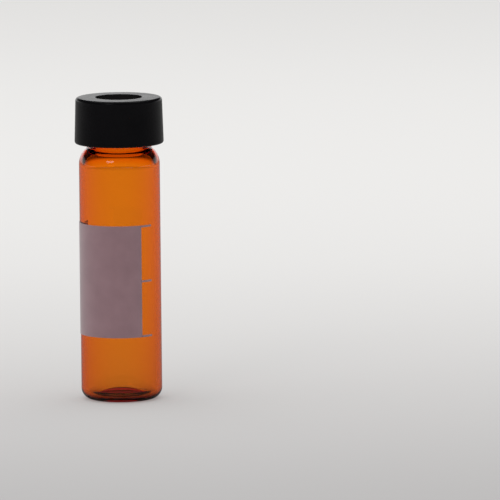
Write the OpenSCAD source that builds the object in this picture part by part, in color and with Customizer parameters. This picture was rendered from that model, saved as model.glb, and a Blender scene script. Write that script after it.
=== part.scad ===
// Glass sample vial with a screw neck, an open-top screw cap, a septum and a writing patch.
// Millimetres, +Z up. The origin is the centre of the base on the plane the vial stands on,
// +Z runs up the vial's axis, and -Y points at the middle of the writing patch.
// Every piece is shown in its place with the cap screwed down.

/* [Glass body] */
// Outside diameter of the straight body
body_d = 16.6; // [15.8:0.1:18.5]
// Height of the glass from the standing plane to the rim
vial_h = 60; // [55:0.5:75]
// Wall thickness of the straight body
wall_t = 1; // [0.7:0.05:1.3]
// Height of the inside floor above the standing plane, where it is lowest
floor_t = 1.05; // [0.95:0.05:2]
// Rise of the inside floor from there to its middle
floor_rise = 1.3; // [0.6:0.05:1.6]
// Radius of the rounded outside corner at the base
heel_r = 2.3; // [1.4:0.1:2.8]
// Radius of the rounded inside corner at the floor
floor_corner_r = 1.3; // [0.7:0.1:2.2]
// Width of the flat ring the vial stands on
standing_ring_w = 1.2; // [0.6:0.1:2]
// Depth of the shallow hollow inside the standing ring
dish_depth = 0.5; // [0.2:0.05:0.7]

/* [Shoulder and neck] */
// Radius of the outside curve of the shoulder
shoulder_r = 4.2; // [3.4:0.1:5.6]
// Radius of the inside curve of the shoulder, where the drawn glass gathers and is thickest
shoulder_in_r = 3.4; // [2:0.1:5]
// Diameter of the neck between the turns of its thread
neck_d = 13; // [12:0.1:13.4]
// Height of the straight neck, from the shoulder's fillet to the rim
neck_h = 7.4; // [6.8:0.1:9]
// Radius of the fillet between the shoulder and the neck
neck_fillet_r = 1.2; // [0.8:0.1:2]
// Inside diameter of the mouth
mouth_d = 10; // [8:0.1:10.8]
// Radius at which the shoulder's inside turns up into the bore of the neck
throat_r = 1; // [0.6:0.1:1.8]
// Distance from the foot of the straight neck down to the end of its bore
throat_drop = 0.7; // [0:0.1:1.2]
// Rounding of the rim's two edges
rim_edge_r = 0.4; // [0.2:0.05:0.6]

/* [Screw thread] */
// Rise of the thread in one turn
thread_pitch = 1.814; // [1.6:0.002:2]
// Turns of thread on the neck
thread_turns = 2; // [1:0.25:2.25]
// Distance from the rim down to the middle of the thread's upper end
thread_drop = 1.8; // [1.4:0.1:2.4]
// How far the glass thread stands out from the neck
thread_depth = 0.72; // [0.5:0.02:0.8]
// Width of the glass thread where it meets the neck
thread_root_w = 1.25; // [1.1:0.01:1.3]
// Width of the glass thread at its crest
thread_crest_w = 0.45; // [0.3:0.01:0.6]
// Turns of thread inside the cap
cap_thread_turns = 1.6; // [1:0.1:2]
// Room between a crest and the root that faces it, measured on the radius
crest_gap = 0.2; // [0.12:0.01:0.3]
// Room between two flanks, measured along the axis
flank_gap = 0.15; // [0.1:0.01:0.2]
// Angle over which each end of a thread fades out
thread_fade = 36; // [18:9:72]
// Plain bore between the cap's lead-in and the lower end of its thread
cap_plain_h = 0.2; // [0.1:0.05:0.5]

/* [Cap] */
// Height of the cap
cap_h = 9.5; // [9:0.1:11]
// Outside diameter of the cap at its open end
cap_d = 18.3; // [17.8:0.1:20]
// Outside diameter of the cap at its top
cap_top_d = 17.8; // [17.2:0.1:20]
// Thickness of the cap's top
cap_top_t = 1.2; // [0.8:0.05:2]
// Diameter of the hole in the cap's top
cap_hole_d = 9.5; // [8:0.1:11]
// Chamfer round the top of the hole
hole_chamfer = 0.15; // [0.05:0.05:0.4]
// Rounding of the cap's top outer edge
cap_top_edge_r = 0.6; // [0.3:0.05:1]
// Rounding of the cap's lower outer edge
cap_low_edge_r = 0.5; // [0.3:0.05:0.7]
// Lead-in chamfer inside the cap's open end
cap_lead_in = 0.4; // [0.2:0.05:0.6]

/* [Septum] */
// Thickness of the septum
septum_t = 1.2; // [1:0.1:2]
// Room between the septum's edge and the inside of the cap
septum_gap = 0.45; // [0.3:0.05:0.6]

/* [Writing patch] */
// Angle the patch covers round the body
patch_angle = 144; // [90:1:180]
// Height of the patch's lower edge above the standing plane
patch_z = 13.6; // [6:0.2:20]
// Height of the patch
patch_h = 23.1; // [10:0.1:28]
// Thickness of the fired enamel
patch_t = 0.1; // [0.06:0.02:0.2]
// Number of filling marks beside the patch
mark_count = 3; // [2:1:6]
// Length of a filling mark, round the body
mark_l = 2.6; // [1:0.1:5]
// Width of a filling mark's line
mark_w = 0.4; // [0.2:0.05:0.8]

/* [Hidden] */
$fn = 96;
overcut = 1;
sunk = 0.1;
thread_steps = 40;
thread_sink = 0.3;
fade_sink = 0.1;
crest_cut = 0.1;

body_r = body_d / 2;
inner_r = body_r - wall_t;
neck_r = neck_d / 2;
mouth_r = mouth_d / 2;
neck_wall_t = neck_r - mouth_r;
fillet_z = vial_h - neck_h;
throat_z = fillet_z - throat_drop;
dish_r = body_r - heel_r - standing_ring_w;

thread_top_z = vial_h - thread_drop;
thread_low_z = thread_top_z - thread_turns * thread_pitch;
thread_slope = (thread_root_w - thread_crest_w) / thread_depth;

cap_bore_r = neck_r + thread_depth + crest_gap;
cap_crest_r = neck_r + crest_gap;
cap_thread_depth = cap_bore_r - cap_crest_r;
cap_crest_w = thread_pitch - 2 * flank_gap - thread_root_w + thread_slope * crest_gap;
cap_root_w = cap_crest_w + thread_slope * cap_thread_depth;

septum_r = cap_bore_r - septum_gap;
septum_z = vial_h;
cap_seat_z = septum_z + septum_t;
cap_top_z = cap_seat_z + cap_top_t;
cap_z = cap_top_z - cap_h;
cap_thread_z = cap_z + cap_lead_in + cap_plain_h + cap_root_w / 2;
cap_thread_turn = (cap_thread_z - thread_low_z) / thread_pitch + 1 / 2;

mark_angle = mark_l / (PI * body_d) * 360;
mark_start = -90 + patch_angle / 2;

// Half section of a shouldered bottle, from its floor up to top_z: a straight side with a
// rounded corner at the floor, a round shoulder, and a neck that joins it in a hollow fillet.
// The shoulder's arc and the fillet's arc are tangent to each other and to both straight sides.
module shouldered_section(side_r, corner_r, curve_r, top_r, blend_r, floor_z, blend_z, top_z) {
    arc_x = side_r - curve_r;
    blend_x = top_r + blend_r;
    run = blend_x - arc_x;
    reach = curve_r + blend_r;
    arc_z = blend_z - sqrt(reach * reach - run * run);
    touch_x = arc_x + run * curve_r / reach;
    touch_z = arc_z + (blend_z - arc_z) * curve_r / reach;
    translate([0, floor_z + corner_r])
        square([side_r, arc_z - floor_z - corner_r]);
    translate([0, floor_z])
        square([side_r - corner_r, corner_r]);
    translate([side_r - corner_r, floor_z + corner_r])
        circle(corner_r);
    intersection() {
        translate([arc_x, arc_z])
            circle(curve_r);
        translate([0, arc_z])
            square([side_r, touch_z - arc_z]);
    }
    translate([0, arc_z])
        square([top_r, top_z - arc_z]);
    difference() {
        polygon([[0, touch_z], [touch_x, touch_z], [blend_x, blend_z], [0, blend_z]]);
        translate([blend_x, blend_z])
            circle(blend_r);
    }
}

// Half section of the raised middle of a floor: a dome whose edge turns up into the corner's arc,
// with one tangent where the two arcs touch
module floor_dome(side_r, corner_r, floor_z, rise) {
    corner = [side_r - corner_r, floor_z + corner_r];
    top_z = floor_z + rise;
    drop = corner_r - rise;
    dome_r = (corner[0] * corner[0] + drop * drop - corner_r * corner_r) / (2 * rise);
    share = dome_r / (dome_r + corner_r);
    touch = [corner[0] * share, top_z - dome_r + (drop + dome_r) * share];
    difference() {
        polygon([[0, floor_z - sunk], [corner[0], floor_z - sunk], corner, touch, [0, touch[1]]]);
        translate(corner)
            circle(corner_r);
    }
    intersection() {
        translate([0, top_z - dome_r])
            circle(dome_r);
        translate([0, touch[1]])
            square([touch[0], rise]);
    }
}

// Where a helix is after t turns, with its section's points given as [radius, height]
function on_helix(p, t, pitch) = [p[0] * cos(360 * t), p[0] * sin(360 * t), p[1] + pitch * t];

// Share of its full depth that a thread has after t of its turns, fading out at both ends
function thread_share(t, turns) = min(1, 360 * t / thread_fade, 360 * (turns - t) / thread_fade);

// Section of a thread whose flanks run from a base inside the wall to the crest, with the crest's
// two corners cut off. side is 1 for a thread outside a wall and -1 for one inside a bore.
function thread_section(root_r, depth, root_w, crest_w, side, share) =
    let (slope = (root_w - crest_w) / depth)
    let (base_r = root_r - side * thread_sink)
    let (base_w = root_w + slope * thread_sink)
    let (low = root_r - side * fade_sink)
    let (crest_r = low + (root_r + side * depth - low) * share)
    let (corner_r = crest_r - side * crest_cut)
    let (corner_w = crest_w + slope * crest_cut)
    let (top_w = crest_w - 2 * crest_cut)
    [
        [base_r, -base_w / 2],
        [corner_r, -corner_w / 2],
        [crest_r, -top_w / 2],
        [crest_r, top_w / 2],
        [corner_r, corner_w / 2],
        [base_r, base_w / 2]
    ];

// One right-handed thread, swept as rings of its section along the helix
module thread(root_r, depth, root_w, crest_w, side, turns) {
    steps = ceil(turns * thread_steps);
    rings = [
        for (i = [0 : steps])
            let (t = i * turns / steps)
            [
                for (p = thread_section(root_r, depth, root_w, crest_w, side, thread_share(t, turns)))
                    on_helix(p, t, thread_pitch)
            ]
    ];
    count = len(rings[0]);
    points = [for (ring = rings) for (p = ring) p];
    sides = [
        for (i = [0 : steps - 1])
            for (j = [0 : count - 1])
                for (half = [0, 1])
                    let (a = i * count + j)
                    let (b = i * count + (j + 1) % count)
                    half == 0 ? [a, b, b + count] : [a, b + count, a + count]
    ];
    ends = [
        [for (j = [0 : count - 1]) count - 1 - j],
        [for (j = [0 : count - 1]) steps * count + j]
    ];
    faces = concat(sides, ends);
    polyhedron(points, side > 0 ? faces : [for (f = faces) [for (k = [len(f) - 1 : -1 : 0]) f[k]]]);
}

// Outer half section of the cap: a tapered wall tangent to its two rounded edges
module cap_section() {
    low_r = cap_low_edge_r;
    top_r = cap_top_edge_r;
    low = [cap_d / 2 - low_r, cap_z + low_r];
    top = [cap_top_d / 2 - top_r, cap_top_z - top_r];
    span = norm(top - low);
    face_angle = atan2(top[1] - low[1], top[0] - low[0]) - acos((low_r - top_r) / span);
    face = [cos(face_angle), sin(face_angle)];
    polygon([
        [0, cap_z],
        [low[0], cap_z],
        low + low_r * face,
        top + top_r * face,
        [top[0], cap_top_z],
        [0, cap_top_z]
    ]);
    translate(low)
        circle(low_r);
    translate(top)
        circle(top_r);
}

// Blown glass in one piece: body, shoulder, threaded neck and rim, with a shallow hollow under the base
module glass_vial() {
    dish_ball_r = (dish_r * dish_r + dish_depth * dish_depth) / (2 * dish_depth);
    color([0.62, 0.27, 0.05, 0.8])
    union() {
        rotate_extrude()
        difference() {
            shouldered_section(body_r, heel_r, shoulder_r, neck_r, neck_fillet_r, 0, fillet_z,
                               vial_h - rim_edge_r);
            difference() {
                shouldered_section(inner_r, floor_corner_r, shoulder_in_r, mouth_r, throat_r, floor_t,
                                   throat_z, vial_h);
                floor_dome(inner_r, floor_corner_r, floor_t, floor_rise);
            }
            intersection() {
                translate([0, dish_depth - dish_ball_r])
                    circle(dish_ball_r);
                square([dish_r + overcut, dish_depth + overcut]);
            }
        }
        rotate_extrude()
        union() {
            translate([mouth_r + rim_edge_r, vial_h - 2 * rim_edge_r])
                square([neck_wall_t - 2 * rim_edge_r, 2 * rim_edge_r]);
            translate([mouth_r + rim_edge_r, vial_h - rim_edge_r])
                circle(rim_edge_r);
            translate([neck_r - rim_edge_r, vial_h - rim_edge_r])
                circle(rim_edge_r);
        }
        translate([0, 0, thread_low_z])
            thread(neck_r, thread_depth, thread_root_w, thread_crest_w, 1, thread_turns);
    }
}

// Fired enamel on the outside of the body: a patch to write on, and short filling marks that
// run on from its edge, one level with its top, one with its foot, and the rest evenly between
module writing_patch() {
    mark_rise = (patch_h - mark_w) / (mark_count - 1);
    color([0.52, 0.42, 0.44]) {
        rotate([0, 0, mark_start - patch_angle])
            rotate_extrude(angle = patch_angle)
            translate([body_r, patch_z])
                square([patch_t, patch_h]);
        for (i = [0 : mark_count - 1])
            rotate([0, 0, mark_start])
                rotate_extrude(angle = mark_angle)
                translate([body_r, patch_z + i * mark_rise])
                    square([patch_t, mark_w]);
    }
}

// Elastic disc that seals on the rim, under the cap's hole
module septum() {
    color([0.82, 0.8, 0.76])
        translate([0, 0, septum_z])
            cylinder(h = septum_t, r = septum_r);
}

// Moulded cap with an open top and a thread that runs under the glass thread
module screw_cap() {
    color([0.05, 0.05, 0.055])
    union() {
        rotate_extrude()
        difference() {
            cap_section();
            translate([0, cap_z - overcut])
                square([cap_bore_r, cap_seat_z - cap_z + overcut]);
            translate([0, cap_seat_z - overcut])
                square([cap_hole_d / 2, cap_top_t + 2 * overcut]);
            polygon([
                [0, cap_top_z - hole_chamfer],
                [cap_hole_d / 2, cap_top_z - hole_chamfer],
                [cap_hole_d / 2 + hole_chamfer + overcut, cap_top_z + overcut],
                [0, cap_top_z + overcut]
            ]);
            polygon([
                [0, cap_z + cap_lead_in],
                [cap_bore_r, cap_z + cap_lead_in],
                [cap_bore_r + cap_lead_in + overcut, cap_z - overcut],
                [0, cap_z - overcut]
            ]);
        }
        rotate([0, 0, 360 * cap_thread_turn])
            translate([0, 0, cap_thread_z])
            thread(cap_bore_r, cap_thread_depth, cap_root_w, cap_crest_w, -1, cap_thread_turns);
    }
}

glass_vial();
writing_patch();
septum();
screw_cap();
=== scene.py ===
"""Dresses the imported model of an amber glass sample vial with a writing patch, a septum and an
open-top screw cap. The pieces come in the order in which a vial is made and closed. All lengths
are in metres, the vial stands on z = 0, and its axis is the Z axis."""

import math

import bpy
import numpy as np
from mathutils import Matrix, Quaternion, Vector


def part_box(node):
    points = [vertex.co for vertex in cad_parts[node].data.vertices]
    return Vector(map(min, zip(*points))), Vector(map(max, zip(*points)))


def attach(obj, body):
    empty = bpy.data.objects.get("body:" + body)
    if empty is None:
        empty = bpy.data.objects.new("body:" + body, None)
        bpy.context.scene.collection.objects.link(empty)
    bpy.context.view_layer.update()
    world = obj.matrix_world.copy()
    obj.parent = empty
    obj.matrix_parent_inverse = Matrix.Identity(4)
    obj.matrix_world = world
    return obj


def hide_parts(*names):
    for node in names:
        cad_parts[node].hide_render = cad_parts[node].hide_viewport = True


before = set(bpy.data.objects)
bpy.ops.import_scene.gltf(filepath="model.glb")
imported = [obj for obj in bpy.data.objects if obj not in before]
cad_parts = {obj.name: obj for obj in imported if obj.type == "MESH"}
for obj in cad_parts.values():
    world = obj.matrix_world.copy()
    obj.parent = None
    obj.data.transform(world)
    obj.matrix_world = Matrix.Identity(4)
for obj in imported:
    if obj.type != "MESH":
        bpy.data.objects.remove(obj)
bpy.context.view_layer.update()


# ------------------------------------------------------------------------------------------------
# Glass vial
# A cut length of amber borosilicate tube, all one piece: in the flame its lower end is closed to a
# rounded base with a shallow hollow under it, and its upper end is drawn in to a shoulder and
# rolled between tools into a threaded neck with a rounded rim. Nothing is added to the glass.
# ------------------------------------------------------------------------------------------------

_, glass_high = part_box("glass_vial")
body_r = glass_high.x
rim_z = glass_high.z
wall_t = 0.0010
floor_z = 0.00105
heel_r = 0.0023
floor_rise = 0.0013
floor_corner_r = 0.0013
dish_r = 0.0048
dish_depth = 0.0005
dish_lip_r = 0.0006
shoulder_r = 0.0042
shoulder_in_r = 0.0034
neck_r = 0.0065
neck_h = 0.0074
neck_fillet_r = 0.0012
mouth_r = 0.0050
throat_r = 0.0010
throat_drop = 0.0007
rim_edge_r = 0.0004
same_point = 1e-7
same_radius = 1e-6

thread_pitch = 0.001814
thread_turns = 2.0
thread_drop = 0.0018
thread_depth = 0.00072
thread_root_w = 0.00125
thread_crest_w = 0.00045
thread_fade = 0.1

glass_ior = 1.52
amber_tint = (0.963, 0.706, 0.0)
amber_density = 2750.0


def arc(centre, radius, start, end, step):
    """Points of an arc, about step degrees apart: centre + radius * (cos a, sin a), with a from
    start to end in degrees."""
    steps = max(2, math.ceil(abs(end - start) / step))
    a = np.radians(np.linspace(start, end, steps + 1))
    return np.asarray(centre) + radius * np.stack([np.cos(a), np.sin(a)], -1)


def line(start, end, steps):
    """Points that divide the straight line from start to end into equal steps."""
    t = np.linspace(0.0, 1.0, steps + 1)[:, None]
    return (1.0 - t) * np.asarray(start) + t * np.asarray(end)


def joined(*stretches):
    """One profile from its stretches in order, without the points that repeat the one before."""
    points = np.concatenate(stretches)
    step = np.linalg.norm(np.diff(points, axis=0), axis=1)
    return points[np.concatenate([[True], step > same_point])]


def turned(profile, columns, relief=None, ring=False):
    """Surface of a (radius, height) profile turned about Z: P(i, j) = (r cos a, r sin a, z) with
    a = 2 pi j / columns, and r raised by relief(a, z, r) where that is given. A ring's profile
    closes on itself. Otherwise it runs from axis to axis, and each end is one vertex with a fan of
    triangles."""
    a = 2.0 * np.pi * np.arange(columns) / columns
    inner = profile if ring else profile[1:-1]
    r = np.repeat(inner[:, :1], columns, axis=1)
    z = np.repeat(inner[:, 1:], columns, axis=1)
    if relief is not None:
        r = r + relief(a[None, :], z, r)
    points = np.stack([r * np.cos(a), r * np.sin(a), z], -1).reshape(-1, 3)
    rows = len(inner)
    i = np.arange(rows if ring else rows - 1)[:, None]
    j = np.arange(columns)[None, :]
    after_i, after_j = (i + 1) % rows, (j + 1) % columns
    quads = np.stack([i * columns + j, i * columns + after_j,
                      after_i * columns + after_j, after_i * columns + j], -1).reshape(-1, 4)
    faces = quads.tolist()
    if not ring:
        first, last = len(points), len(points) + 1
        points = np.concatenate([points, [[0.0, 0.0, profile[0, 1]], [0.0, 0.0, profile[-1, 1]]]])
        end = (rows - 1) * columns
        fans = [np.stack([np.full(columns, first), after_j[0], j[0]], -1),
                np.stack([np.full(columns, last), end + j[0], end + after_j[0]], -1)]
        faces += np.concatenate(fans).tolist()
    return points, faces


def new_piece(name, points, faces, material, sharp_angle=60.0):
    """Mesh object at the origin with its place in its points, shaded smooth up to sharp_angle."""
    mesh = bpy.data.meshes.new(name)
    mesh.from_pydata(points.tolist(), [], faces)
    mesh.update()
    mesh.polygons.foreach_set("use_smooth", np.ones(len(mesh.polygons), bool))
    mesh.set_sharp_from_angle(angle=math.radians(sharp_angle))
    mesh.materials.append(material)
    piece = bpy.data.objects.new(name, mesh)
    bpy.context.scene.collection.objects.link(piece)
    return piece


def shouldered(side_r, curve_r, top_r, blend_r, blend_z):
    """Shoulder from a straight side up to a straight neck, as an arc bulging out and an arc
    hollowing in that touch with one tangent: the centres are curve_r + blend_r apart."""
    arc_x = side_r - curve_r
    blend_x = top_r + blend_r
    arc_z = blend_z - math.sqrt((curve_r + blend_r) ** 2 - (blend_x - arc_x) ** 2)
    tilt = math.degrees(math.atan2(blend_z - arc_z, blend_x - arc_x))
    return joined(arc((arc_x, arc_z), curve_r, 0.0, tilt, step=2.0),
                  arc((blend_x, blend_z), blend_r, 180.0 + tilt, 180.0, step=4.0))


def domed_floor(side_r):
    """Inside of the base from the wall to the axis: a corner arc that turns up again into a shallow
    dome, floor_rise high, with one tangent where they meet: the centres are both radii apart."""
    corner = np.array([side_r - floor_corner_r, floor_z + floor_corner_r])
    top_z = floor_z + floor_rise
    across, up = corner[0], corner[1] - top_z
    dome_r = (across ** 2 + up ** 2 - floor_corner_r ** 2) / (2.0 * (floor_corner_r - up))
    tilt = math.degrees(math.atan2(across, up + dome_r))
    return joined(arc(corner, floor_corner_r, 0.0, -90.0 - tilt, step=3.0),
                  arc((0.0, top_z - dome_r), dome_r, 90.0 - tilt, 90.0, step=1.0))


def glass_profile():
    """Half section of the wall from the middle of the underside, up the outside, over the rim and
    down the inside to the middle of the floor. A short step, near, at each end of the straight
    sides keeps their shading straight."""
    fillet_z = rim_z - neck_h
    ring_r = body_r - heel_r
    ball_r = (dish_r ** 2 + dish_depth ** 2) / (2.0 * dish_depth)
    half = math.degrees(math.asin((dish_r - dish_lip_r) / ball_r))
    dish = arc((0.0, dish_depth - ball_r), ball_r, 90.0, 90.0 - half, step=0.6)
    lip = arc((dish_r, dish_lip_r), dish_lip_r, -90.0 - half, -90.0, step=3.0)
    outside = shouldered(body_r, shoulder_r, neck_r, neck_fillet_r, fillet_z)
    side_r = body_r - wall_t
    inside = shouldered(side_r, shoulder_in_r, mouth_r, throat_r, fillet_z - throat_drop)[::-1]
    side_low_z, near = floor_z + floor_corner_r, 0.00008
    edge_z = rim_z - rim_edge_r
    rim = joined(arc((neck_r - rim_edge_r, edge_z), rim_edge_r, 0.0, 90.0, step=9.0),
                 arc((mouth_r + rim_edge_r, edge_z), rim_edge_r, 90.0, 180.0, step=9.0))
    return joined(
        dish, lip,
        line((dish_r, 0.0), (ring_r, 0.0), steps=4),
        arc((ring_r, heel_r), heel_r, -90.0, 0.0, step=3.0),
        line((body_r, heel_r + near), outside[0] - (0.0, near), steps=14),
        outside,
        line(outside[-1], rim[0], steps=110),
        rim,
        line(rim[-1], inside[0], steps=12),
        inside,
        line(inside[-1] - (0.0, near), (side_r, side_low_z + near), steps=14),
        domed_floor(side_r),
    )


def smooth_step(t):
    """0 below t = 0, 1 above t = 1, and 3 t^2 - 2 t^3 between."""
    t = np.clip(t, 0.0, 1.0)
    return t * t * (3.0 - 2.0 * t)


def thread_relief(angle, z, low_z, start_turn, turns, depth, root_w, crest_w):
    """Height of a right-handed thread over its wall. Turn t passes the angle 2 pi (t + start_turn)
    at z = low_z + pitch * t. Across the thread the height rounds off from crest_w / 2 to root_w / 2
    away from its middle, and it fades out over the first and last thread_fade of a turn."""
    height = np.zeros(np.broadcast(angle, z).shape)
    first = angle / (2.0 * np.pi) - start_turn
    for whole in range(-1, math.ceil(turns) + 2):
        t = first + whole
        away = np.abs(z - low_z - thread_pitch * t)
        across = smooth_step((root_w / 2.0 - away) / (root_w / 2.0 - crest_w / 2.0))
        along = smooth_step(np.minimum(t, turns - t) / thread_fade)
        height = np.maximum(height, depth * across * along)
    return height


def neck_relief(angle, z, r):
    """Thread on the outside of the neck, and nothing on the rest of the wall."""
    low_z = rim_z - thread_drop - thread_turns * thread_pitch
    thread = thread_relief(angle, z, low_z, 0.0, thread_turns, thread_depth,
                           thread_root_w, thread_crest_w)
    return np.where(np.abs(r - neck_r) < same_radius, thread, 0.0)


def wire(tree, node, inputs):
    """Gives each named input of a node its value, or a link where that is another node's output."""
    for name, value in inputs.items():
        if isinstance(value, bpy.types.NodeSocket):
            tree.links.new(value, node.inputs[name])
        else:
            node.inputs[name].default_value = value
    return node


def new_material(name):
    """New material, its node tree, its Principled shader, and places in the piece's own space."""
    material = bpy.data.materials.new(name)
    material.use_nodes = True
    tree = material.node_tree
    place = tree.nodes.new("ShaderNodeTexCoord").outputs["Object"]
    return material, tree, tree.nodes["Principled BSDF"], place


def noise(tree, place, scale, detail):
    """Noise at a place, as a number about 0.5."""
    inputs = {"Vector": place, "Scale": scale, "Detail": detail}
    return wire(tree, tree.nodes.new("ShaderNodeTexNoise"), inputs).outputs["Fac"]


def bumped(tree, height, strength, depth):
    """Normal of a surface that the height, from 0 to 1, raises by up to depth."""
    inputs = {"Height": height, "Strength": strength, "Distance": depth}
    return wire(tree, tree.nodes.new("ShaderNodeBump"), inputs).outputs["Normal"]


def amber_glass():
    """Clear amber glass: the colour comes from the depth of glass a ray crosses, and drawing the
    tube leaves faint waves that run along it."""
    material, tree, shader, place = new_material("amber_glass")
    depth = wire(tree, tree.nodes.new("ShaderNodeVolumeAbsorption"),
                 {"Color": (*amber_tint, 1.0), "Density": amber_density})
    wire(tree, tree.nodes["Material Output"], {"Volume": depth.outputs["Volume"]})
    drawn = wire(tree, tree.nodes.new("ShaderNodeMapping"),
                 {"Vector": place, "Scale": (260.0, 260.0, 22.0)})
    waves = noise(tree, drawn.outputs["Vector"], scale=1.0, detail=2.0)
    wire(tree, shader, {
        "Base Color": (1.0, 1.0, 1.0, 1.0),
        "Roughness": 0.0,
        "IOR": glass_ior,
        "Transmission Weight": 1.0,
        "Normal": bumped(tree, waves, strength=0.25, depth=0.00004),
    })
    return material


glass_form = turned(glass_profile(), columns=256, relief=neck_relief)
glass = new_piece("glass_body", *glass_form, amber_glass())
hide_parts("glass_vial")
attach(glass, "vial")


# ------------------------------------------------------------------------------------------------
# Writing patch
# White enamel printed on the outside of the body through a screen and fired on, in one coat a tenth
# of a millimetre thick: a field to write on, and three filling marks that run on from its edge. Its
# grey mauve colour is painted shade and painted amber light, the look of white enamel in shade.
# ------------------------------------------------------------------------------------------------

patch_low, patch_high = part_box("writing_patch")
patch_z = patch_low.z
patch_h = patch_high.z - patch_low.z
patch_angle = math.radians(144.0)
patch_end = -math.pi / 2.0 + patch_angle / 2.0
patch_t = 0.0001
patch_top_r = body_r + patch_t
patch_sink = 0.00003
mark_w = 0.0004
mark_reach = 0.0026
mark_overlap = 0.02
mark_count = 3
# Painted shade and painted amber light: white enamel given the grey mauve it shows in shade.
enamel_shaded_dark = (0.286, 0.160, 0.183)
enamel_shaded_light = (0.331, 0.190, 0.215)


def print_field(start, end, low_z, high_z, columns, rows):
    """Coat of enamel over a stretch of the body: a thin bar from patch_sink under the glass out to
    patch_top_r, and from low_z to high_z, bent round the axis from angle start to end."""
    under_r = body_r - patch_sink
    z = np.linspace(low_z, high_z, rows + 1)
    loop = np.concatenate([np.stack([np.full(rows + 1, patch_top_r), z], -1),
                           np.stack([np.full(rows + 1, under_r), z[::-1]], -1)])
    a = np.linspace(start, end, columns + 1)
    count = len(loop)
    r, z = loop[:, 0][:, None], np.repeat(loop[:, 1][:, None], columns + 1, axis=1)
    points = np.stack([r * np.cos(a), r * np.sin(a), z], -1).reshape(-1, 3)
    i = np.arange(count)[:, None]
    j = np.arange(columns)[None, :]
    after = (i + 1) % count
    width = columns + 1
    quads = np.stack([i * width + j, i * width + j + 1,
                      after * width + j + 1, after * width + j], -1).reshape(-1, 4)
    k = np.arange(rows)
    out, back = k, 2 * rows + 1 - k
    caps = []
    for column, turn in ((0, 1), (columns, -1)):
        cap = np.stack([out, out + 1, back - 1, back], -1)[:, ::turn]
        caps += (cap * width + column).tolist()
    return points, quads.tolist() + caps


def mottled(tree, amount, low, high, start=0.0, end=1.0):
    """Colour that goes from low to high as the amount goes from start to end."""
    node = tree.nodes.new("ShaderNodeValToRGB")
    for element, position, colour in zip(node.color_ramp.elements, (start, end), (low, high)):
        element.position = position
        element.color = (*colour, 1.0)
    return wire(tree, node, {"Fac": amount}).outputs["Color"]


def fired_enamel():
    """Matt enamel: fine pigment grain, slightly uneven cover, a tooth for pencil, and a dusty sheen
    where the surface turns away. Its grey mauve base colour is painted shade and painted amber
    light over white enamel."""
    material, tree, shader, place = new_material("patch_enamel")
    cover = noise(tree, place, scale=260.0, detail=4.0)
    grain = noise(tree, place, scale=9000.0, detail=3.0)
    wire(tree, shader, {
        # Base colour: painted shade over white enamel, mottled at random by the uneven cover.
        "Base Color": mottled(tree, cover, enamel_shaded_dark, enamel_shaded_light, start=0.3, end=0.7),
        "Roughness": 0.3,
        "Specular IOR Level": 0.9,
        "Sheen Weight": 0.42,
        "Sheen Roughness": 0.55,
        "Normal": bumped(tree, grain, strength=0.3, depth=0.00002),
    })
    return material


enamel = fired_enamel()
fields = [print_field(patch_end - patch_angle, patch_end, patch_z, patch_z + patch_h,
                      columns=120, rows=40)]
for mark in range(mark_count):
    low_z = patch_z + mark * (patch_h - mark_w) / (mark_count - 1)
    fields.append(print_field(patch_end - mark_overlap, patch_end + mark_reach / body_r,
                              low_z, low_z + mark_w, columns=16, rows=2))
for number, (points, faces) in enumerate(fields):
    name = "patch_field" if number == 0 else f"filling_mark_{number}"
    coat = new_piece(name, points, faces, enamel)
    if number == 0:
        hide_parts("writing_patch")
    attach(coat, "vial")


# ------------------------------------------------------------------------------------------------
# Septum
# A disc punched from a sheet of off-white silicone rubber. It lies on the vial's rim, where the
# cap's top presses its edge down, and a needle goes through its middle, inside the cap's hole.
# ------------------------------------------------------------------------------------------------

septum_low, septum_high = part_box("septum")
septum_r = septum_high.x
septum_edge_r = 0.00012
septum_play = 0.000005
silicone_dark = (0.60, 0.57, 0.50)
silicone_light = (0.72, 0.69, 0.62)


def septum_profile():
    """Half section of the disc, with its top and bottom edges rounded by septum_edge_r."""
    low_z, high_z = septum_low.z + septum_play, septum_high.z - septum_play
    e = septum_edge_r
    return joined(
        line((0.0, low_z), (septum_r - e, low_z), steps=8),
        arc((septum_r - e, low_z + e), e, -90.0, 0.0, step=15.0),
        arc((septum_r - e, high_z - e), e, 0.0, 90.0, step=15.0),
        line((septum_r - e, high_z), (0.0, high_z), steps=40),
    )


def silicone():
    """Off-white silicone rubber: half dull, faintly mottled, with a slightly uneven skin."""
    material, tree, shader, place = new_material("septum_silicone")
    mottle = noise(tree, place, scale=700.0, detail=5.0)
    wire(tree, shader, {
        "Base Color": mottled(tree, mottle, silicone_dark, silicone_light),
        "Roughness": 0.45,
        "Normal": bumped(tree, mottle, strength=0.2, depth=0.00002),
    })
    return material


septum_form = turned(septum_profile(), columns=128)
septum = new_piece("septum_disc", *septum_form, silicone(), sharp_angle=40.0)
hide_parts("septum")
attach(septum, "septum")


# ------------------------------------------------------------------------------------------------
# Screw cap
# Moulded in black plastic in one shot, with smooth sides that taper a little to draw from the
# mould, an open top, and a thread inside that runs under the thread of the glass.
# ------------------------------------------------------------------------------------------------

cap_low, cap_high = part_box("screw_cap")
cap_z, cap_top_z = cap_low.z, cap_high.z
cap_low_r = cap_high.x
cap_top_r = 0.0089
cap_seat_z = septum_high.z
cap_hole_r = 0.00475
hole_chamfer = 0.00015
cap_top_edge_r = 0.0006
cap_low_edge_r = 0.0005
cap_lead_in = 0.0004
cap_plain_h = 0.0002
crest_gap = 0.0002
cap_bore_r = neck_r + thread_depth + crest_gap
cap_root_w = 0.001286
cap_crest_w = 0.000486
cap_thread_turns = 1.6
plastic_dark = (0.0030, 0.0028, 0.0034)
plastic_light = (0.0060, 0.0056, 0.0066)


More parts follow.
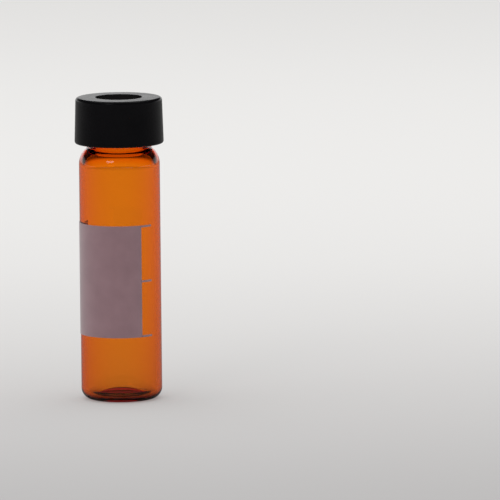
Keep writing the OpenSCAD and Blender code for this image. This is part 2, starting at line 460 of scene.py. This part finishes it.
def cap_profile():
    """Half section of the cap as a closed loop: up the outside, in over the top, down the hole, out
    under the top, down the bore and out along the open end."""
    low = np.array([cap_low_r - cap_low_edge_r, cap_z + cap_low_edge_r])
    top = np.array([cap_top_r - cap_top_edge_r, cap_top_z - cap_top_edge_r])
    span = top - low
    face = math.degrees(math.atan2(span[1], span[0])
                        - math.acos((cap_low_edge_r - cap_top_edge_r) / math.hypot(*span)))
    low_edge = arc(low, cap_low_edge_r, -90.0, face, step=7.5)
    top_edge = arc(top, cap_top_edge_r, face, 90.0, step=7.5)
    hole_top = (cap_hole_r + hole_chamfer, cap_top_z)
    hole_side = (cap_hole_r, cap_top_z - hole_chamfer)
    hole_low, bore_top = (cap_hole_r, cap_seat_z), (cap_bore_r, cap_seat_z)
    bore_low = (cap_bore_r, cap_z + cap_lead_in)
    mouth_edge = (cap_bore_r + cap_lead_in, cap_z)
    return joined(
        low_edge,
        line(low_edge[-1], top_edge[0], steps=24),
        top_edge,
        line(top_edge[-1], hole_top, steps=12),
        line(hole_top, hole_side, steps=1),
        line(hole_side, hole_low, steps=6),
        line(hole_low, bore_top, steps=6),
        line(bore_top, bore_low, steps=120),
        line(bore_low, mouth_edge, steps=2),
        line(mouth_edge, low_edge[0], steps=4),
    )[:-1]


def bore_relief(angle, z, r):
    """Thread inside the bore, which takes away from its radius, and nothing on the rest. Its start
    is set so that it runs midway between the turns of the glass thread."""
    glass_low_z = rim_z - thread_drop - thread_turns * thread_pitch
    low_z = cap_z + cap_lead_in + cap_plain_h + cap_root_w / 2.0
    start_turn = (low_z - glass_low_z) / thread_pitch + 0.5
    thread = thread_relief(angle, z, low_z, start_turn, cap_thread_turns, thread_depth,
                           cap_root_w, cap_crest_w)
    return np.where(np.abs(r - cap_bore_r) < same_radius, -thread, 0.0)


def ranged(tree, value, start, end, low, high, smooth=False):
    """Number that goes from low to high as the value goes from start to end, in a straight line or
    in a smooth step."""
    node = tree.nodes.new("ShaderNodeMapRange")
    if smooth:
        node.interpolation_type = "SMOOTHSTEP"
    inputs = {"Value": value, "From Min": start, "From Max": end, "To Min": low, "To Max": high}
    return wire(tree, node, inputs).outputs["Result"]


def black_plastic():
    """Black moulding plastic: satin, with a fine spark-eroded texture from the mould."""
    material, tree, shader, place = new_material("cap_plastic")
    flow = noise(tree, place, scale=300.0, detail=4.0)
    spark = noise(tree, place, scale=7000.0, detail=2.0)
    wire(tree, shader, {
        "Base Color": mottled(tree, flow, plastic_dark, plastic_light),
        "Roughness": ranged(tree, flow, start=0.0, end=1.0, low=0.16, high=0.26),
        "Specular IOR Level": 0.12,
        "Normal": bumped(tree, spark, strength=0.04, depth=0.00002),
    })
    return material


cap_form = turned(cap_profile(), columns=256, relief=bore_relief, ring=True)
cap = new_piece("cap_shell", *cap_form, black_plastic(), sharp_angle=35.0)
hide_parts("screw_cap")
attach(cap, "cap")


# ------------------------------------------------------------------------------------------------
# Floor, light and camera
# A pale floor with a painted pool of light that grows brighter behind the vial, even light from all
# round with one large soft lamp above and a small one in front that gives the glass its highlight,
# and a long lens that looks down on the vial at a shallow angle.
# ------------------------------------------------------------------------------------------------

view_azimuth = math.radians(40.2)
view_elevation = math.radians(7.87)
lens_mm = 720.0
camera_away = 2.055
frame_right = 0.02664
frame_up = -0.00074
camera_roll = math.radians(-0.54)
up = Vector((0.0, 0.0, 1.0))
away = Vector((-math.sin(view_azimuth), math.cos(view_azimuth), 0.0))
right = Vector((math.cos(view_azimuth), math.sin(view_azimuth), 0.0))
floor_r = 6.0
floor_green, floor_green_rise, floor_blue = 0.965, 0.03, 0.975
# Painted pool of light on the floor: place along the line of sight, and the shade painted there.
floor_light_pool = ((-1.0, 0.66), (-0.60, 0.60), (-0.30, 0.50), (-0.14, 0.515), (-0.06, 0.59),
                (0.02, 0.67), (0.10, 0.74), (0.20, 0.82), (0.34, 0.86), (0.50, 0.86),
                (0.62, 0.84), (0.80, 0.80), (1.0, 0.78))
floor_glow = 0.35
front_dim = 0.35 / 3.0
back_dim = 0.35
horizon_light = 0.76
fill_light = 0.75
fill_lean = 0.13
soft_box_size, soft_box_power = (0.9, 0.7), 2.45
soft_box_away, soft_box_z, soft_box_aim_z = 0.25, 0.9, 0.0
glint_size, glint_power = (0.15, 0.09), 0.12
glint_turn = math.radians(-28.0)
glint_away, glint_z, glint_aim_z = 0.39, 0.28, 0.05


def measured(tree, place, direction):
    """How far a place lies along a direction: the dot product of the two."""
    node = tree.nodes.new("ShaderNodeVectorMath")
    node.operation = "DOT_PRODUCT"
    return wire(tree, node, {0: place, 1: direction}).outputs["Value"]


def worked_out(tree, operation, first, second):
    """Result of an operation on two numbers."""
    node = tree.nodes.new("ShaderNodeMath")
    node.operation = operation
    return wire(tree, node, {0: first, 1: second}).outputs["Value"]


def scaled(tree, colour, amount):
    """A colour times a number."""
    node = tree.nodes.new("ShaderNodeVectorMath")
    node.operation = "SCALE"
    return wire(tree, node, {0: colour, "Scale": amount}).outputs["Vector"]


def floor_material():
    """Pale matt floor. Its shade is a painted pool of light: a ramp along the line of sight,
    brightest behind the vial, and far out it passes into the light of the background. What the
    camera sees of it is partly a glow, so that shadows stay faint, and its mirror image in glass
    and plastic is dimmed, most in front."""
    material, tree, shader, place = new_material("floor")
    along = measured(tree, place, away)
    fall = wire(tree, tree.nodes.new("ShaderNodeValToRGB"),
                {"Fac": ranged(tree, along, start=-1.0, end=1.0, low=0.0, high=1.0)})
    ramp = fall.color_ramp
    ramp.interpolation = "B_SPLINE"
    while len(ramp.elements) < len(floor_light_pool):
        ramp.elements.new(0.5)
    for element, (position, value) in zip(ramp.elements, floor_light_pool):
        element.position = (position + 1.0) / 2.0
        green = value * (floor_green + floor_green_rise * value)
        element.color = (value, green, value * floor_blue, 1.0)
    rays = tree.nodes.new("ShaderNodeLightPath").outputs
    mirrored = worked_out(tree, "MULTIPLY", rays["Is Reflection Ray"], rays["Is Glossy Ray"])
    dimmed = ranged(tree, along, start=-0.4, end=0.0, low=front_dim, high=back_dim, smooth=True)
    shade = scaled(tree, fall.outputs["Color"],
                   ranged(tree, mirrored, start=0.0, end=1.0, low=1.0, high=dimmed))
    glow = worked_out(tree, "MULTIPLY", rays["Is Camera Ray"], floor_glow)
    wire(tree, shader, {
        "Base Color": scaled(tree, shade, worked_out(tree, "SUBTRACT", 1.0, glow)),
        "Emission Color": shade,
        "Emission Strength": glow,
        "Roughness": 0.9,
        "Specular IOR Level": 0.0,
    })
    far_light = wire(tree, tree.nodes.new("ShaderNodeEmission"),
                     {"Color": (horizon_light, horizon_light, horizon_light, 1.0)})
    reach = tree.nodes.new("ShaderNodeVectorMath")
    reach.operation = "LENGTH"
    distance = wire(tree, reach, {0: place}).outputs["Value"]
    mix = wire(tree, tree.nodes.new("ShaderNodeMixShader"), {
        "Fac": ranged(tree, distance, start=0.9, end=1.6, low=0.0, high=1.0, smooth=True),
        1: shader.outputs["BSDF"],
        2: far_light.outputs["Emission"],
    })
    wire(tree, tree.nodes["Material Output"], {"Surface": mix.outputs["Shader"]})
    return material


def disc(radius, rings, columns):
    """Flat disc on z = 0: rings spaced as the square of their number, so the middle is finest."""
    r = (radius * np.linspace(0.0, 1.0, rings + 1)[1:] ** 2)[:, None]
    a = 2.0 * np.pi * np.arange(columns) / columns
    points = np.stack([r * np.cos(a), r * np.sin(a), np.zeros((rings, columns))], -1)
    points = np.concatenate([points.reshape(-1, 3), [[0.0, 0.0, 0.0]]])
    i = np.arange(rings - 1)[:, None]
    j = np.arange(columns)[None, :]
    after = (j + 1) % columns
    quads = np.stack([i * columns + j, (i + 1) * columns + j,
                      (i + 1) * columns + after, i * columns + after], -1).reshape(-1, 4)
    fan = np.stack([np.full(columns, rings * columns), j[0], after[0]], -1)
    return points, quads.tolist() + fan.tolist()


floor = new_piece("floor", *disc(floor_r, rings=24, columns=96), floor_material())


def mixed(tree, amount, first, second):
    """Two numbers mixed: (1 - amount) * first + amount * second."""
    inputs = {"Factor": amount, "A": first, "B": second}
    return wire(tree, tree.nodes.new("ShaderNodeMix"), inputs).outputs["Result"]


def studio_world():
    """Light from all round. Matt surfaces get a little more of it from the left than from the
    right. Shine and glass show a studio that is pale behind the vial and dark in front and
    overhead."""
    world = bpy.data.worlds.new("studio")
    world.use_nodes = True
    tree = world.node_tree
    toward = tree.nodes.new("ShaderNodeTexCoord").outputs["Generated"]
    axes = wire(tree, tree.nodes.new("ShaderNodeSeparateXYZ"), {"Vector": toward})
    behind = ranged(tree, measured(tree, toward, away), start=0.15, end=0.75,
                    low=0.03, high=1.0, smooth=True)
    beneath = ranged(tree, axes.outputs["Z"], start=0.13, end=0.27,
                     low=1.0, high=0.02, smooth=True)
    shine = worked_out(tree, "MULTIPLY", behind, beneath)
    fill = ranged(tree, measured(tree, toward, right), start=-1.0, end=1.0,
                  low=fill_light + fill_lean, high=fill_light - fill_lean)
    rays = tree.nodes.new("ShaderNodeLightPath").outputs
    light = mixed(tree, rays["Diffuse Depth"], shine, fill)
    seen = mixed(tree, rays["Is Camera Ray"], light, horizon_light)
    wire(tree, tree.nodes["Background"], {"Color": seen})
    return world


bpy.context.scene.world = studio_world()


def area_lamp(name, size, power, place, aim):
    """Rectangular lamp at a place, turned to shine at its aim."""
    data = bpy.data.lights.new(name, "AREA")
    data.shape = "RECTANGLE"
    data.size, data.size_y = size
    data.energy = power
    lamp = bpy.data.objects.new(name, data)
    lamp.location = place
    lamp.rotation_mode = "QUATERNION"
    lamp.rotation_quaternion = (place - aim).to_track_quat("Z", "Y")
    bpy.context.scene.collection.objects.link(lamp)


area_lamp("soft_box", soft_box_size, soft_box_power,
          soft_box_away * away + soft_box_z * up, soft_box_aim_z * up)
glint_way = math.sin(glint_turn) * right - math.cos(glint_turn) * away
area_lamp("glint_box", glint_size, glint_power,
          glint_away * glint_way + glint_z * up, glint_aim_z * up)

camera_data = bpy.data.cameras.new("camera")
camera_data.lens = lens_mm
camera_data.clip_start, camera_data.clip_end = 0.05, 12.0
camera = bpy.data.objects.new("camera", camera_data)
back = math.sin(view_elevation) * up - math.cos(view_elevation) * away
middle = cap_top_z / 2.0 * up
camera.location = middle + frame_right * right + frame_up * up + camera_away * back
roll = Quaternion((0.0, 0.0, 1.0), camera_roll)
camera.rotation_mode = "QUATERNION"
camera.rotation_quaternion = (-back).to_track_quat("-Z", "Y") @ roll
bpy.context.scene.collection.objects.link(camera)
bpy.context.scene.camera = camera
bpy.context.scene.view_settings.view_transform = "Standard"
